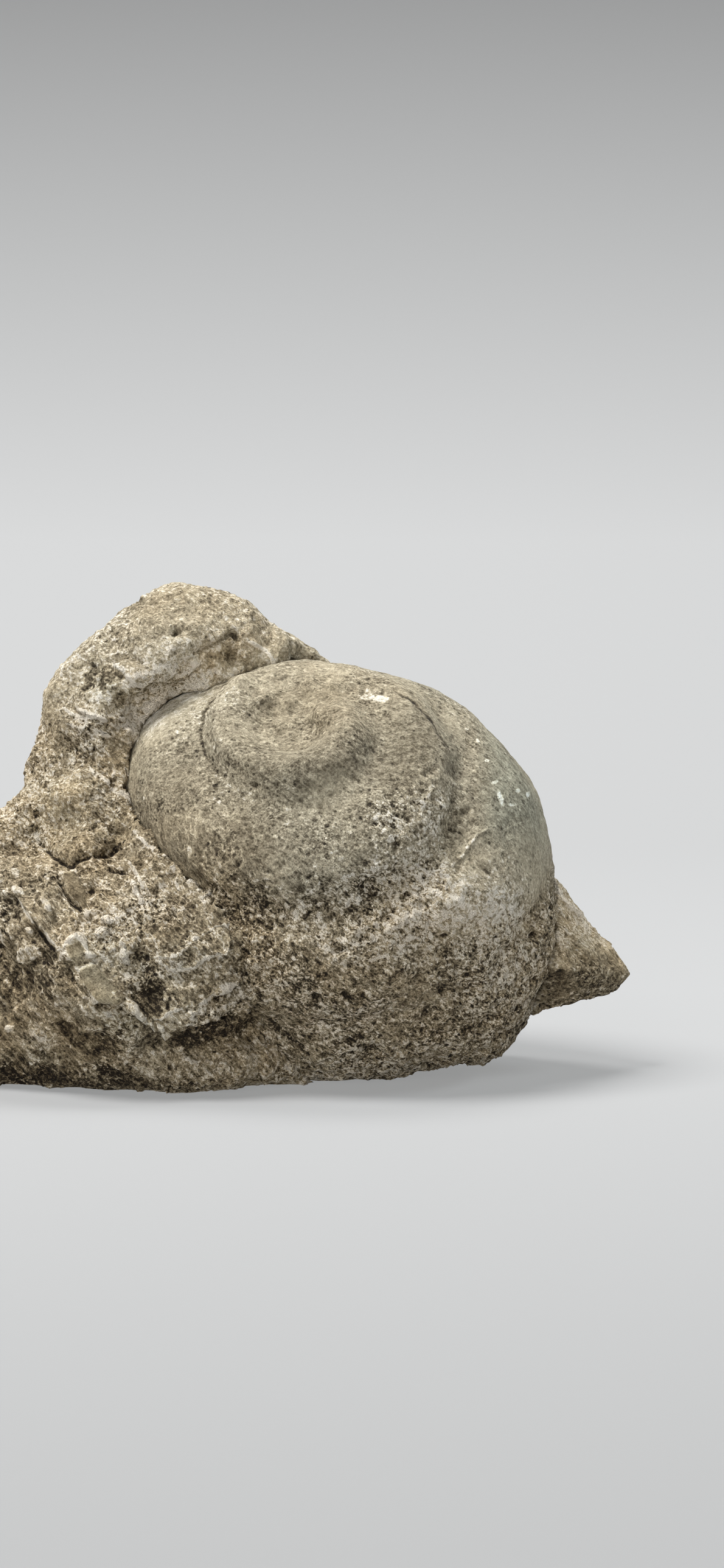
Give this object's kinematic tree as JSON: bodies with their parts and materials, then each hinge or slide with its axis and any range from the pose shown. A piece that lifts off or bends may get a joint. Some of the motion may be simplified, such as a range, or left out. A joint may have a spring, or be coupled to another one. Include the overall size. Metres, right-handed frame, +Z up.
{
  "type": "fossil gastropod in matrix",
  "caption": "Internal mould of a low-spired coiled snail, half freed from a rough lump of sandy limestone that it lies in.",
  "frame": {"origin": "centre of the bounding box, on the flat face that the lump rests on", "axes": "+Z up, -Y out of the exposed face with the coil, +X along the lump towards its pointed corner"},
  "size_m": [0.123, 0.071, 0.0805],
  "materials": {
    "mould_stone": "weathered grey-olive calcareous sandstone, smooth on the spire and pitted on the last whorl",
    "matrix_stone": "rough broken tan limestone with pale shell flakes and rusty stains"
  },
  "bodies": {
    "root": {"gastropod": "mould_stone", "matrix": "matrix_stone"}
  },
  "joints": []
}
